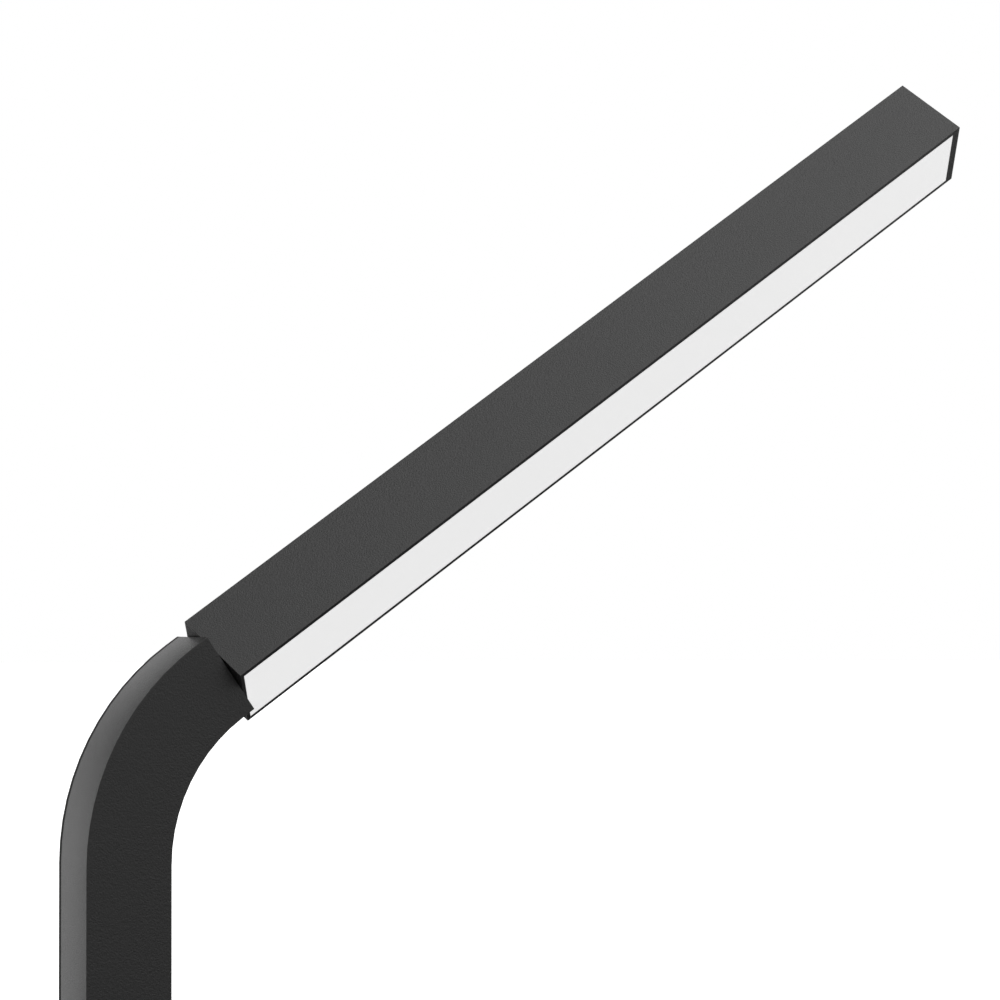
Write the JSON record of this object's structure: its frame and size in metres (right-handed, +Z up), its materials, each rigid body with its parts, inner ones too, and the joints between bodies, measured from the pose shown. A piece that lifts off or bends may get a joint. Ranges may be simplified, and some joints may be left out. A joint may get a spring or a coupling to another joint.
{
  "type": "floor lamp",
  "caption": "Black floor lamp: square post with one bend, a square LED bar that swivels on its own axis, a flat base plate and a push switch on the post.",
  "frame": {"origin": "on the floor, at the centre of the square post: the underside of the base pad on the post's axis", "axes": "+Z up along the post, +X the way the arm leans and the light bar points, +Y to the left of someone who looks along +X"},
  "size_m": [0.6726, 0.3, 1.7807],
  "materials": {
    "coated_aluminium": "satin",
    "coated_steel": "satin",
    "black_screw": "satin",
    "pad_rubber": "matte",
    "plain_aluminium": "satin",
    "plain_steel": "satin",
    "bearing_bronze": "satin",
    "black_plastic": "matte",
    "button_plastic": "satin",
    "white_plastic": "satin",
    "circuit_green": "satin",
    "lead_sheath": "matte",
    "board_white": "satin",
    "led_lens": "satin",
    "opal_diffuser": "satin"
  },
  "bodies": {
    "stand": {"base_plate": "coated_steel", "base_pad": "pad_rubber", "base_screws": "plain_steel", "foot_block": "plain_aluminium", "post_tube": "coated_aluminium", "post_screws": "black_screw", "gland_body": "black_plastic", "gland_seal": "pad_rubber", "gland_cap": "black_plastic", "gland_nut": "black_plastic", "driver_tray": "plain_aluminium", "tray_screws": "plain_steel", "terminal_block": "white_plastic", "terminal_screws": "plain_steel", "driver_case": "white_plastic", "driver_cover": "white_plastic", "driver_board": "circuit_green", "driver_screws": "plain_steel", "driver_input_lead": "lead_sheath", "switch_lead": "lead_sheath", "post_cable": "lead_sheath", "switch_housing": "black_plastic", "switch_contacts": "bearing_bronze", "switch_connector": "white_plastic", "arm_plug": "plain_aluminium", "plug_screws": "black_screw", "swivel_bush": "bearing_bronze", "friction_washer": "black_plastic"},
    "head": {"head_channel": "coated_aluminium", "near_end_cap": "coated_aluminium", "near_cap_screws": "black_screw", "far_end_cap": "coated_aluminium", "far_cap_screws": "black_screw", "head_block": "plain_aluminium", "block_screws": "black_screw", "led_board": "board_white", "leds": "led_lens", "board_screws": "plain_steel", "lead_connector": "white_plastic", "head_lead": "lead_sheath", "diffuser": "opal_diffuser", "swivel_spindle": "plain_steel", "thrust_washer": "plain_steel", "disc_spring": "plain_steel", "spindle_nut": "plain_steel", "stop_pin": "plain_steel"},
    "button": {"switch_button": "button_plastic", "bridge_contact": "bearing_bronze", "switch_spring": "plain_steel"}
  },
  "joints": [
    {"name": "head_swivel", "type": "hinge", "parent": "stand", "child": "head", "pos_m": [0.06027, 0, 1.40727], "axis": [0.8192, 0, 0.5736], "range_deg": [-123.5, 206.5]},
    {"name": "switch_press", "type": "slide", "parent": "stand", "child": "button", "axis": [-1, 0, 0], "range_m": [0, 0.002], "stiffness_N_per_m": 400, "springref_m": -0.002, "deforming": ["switch_spring"]}
  ]
}
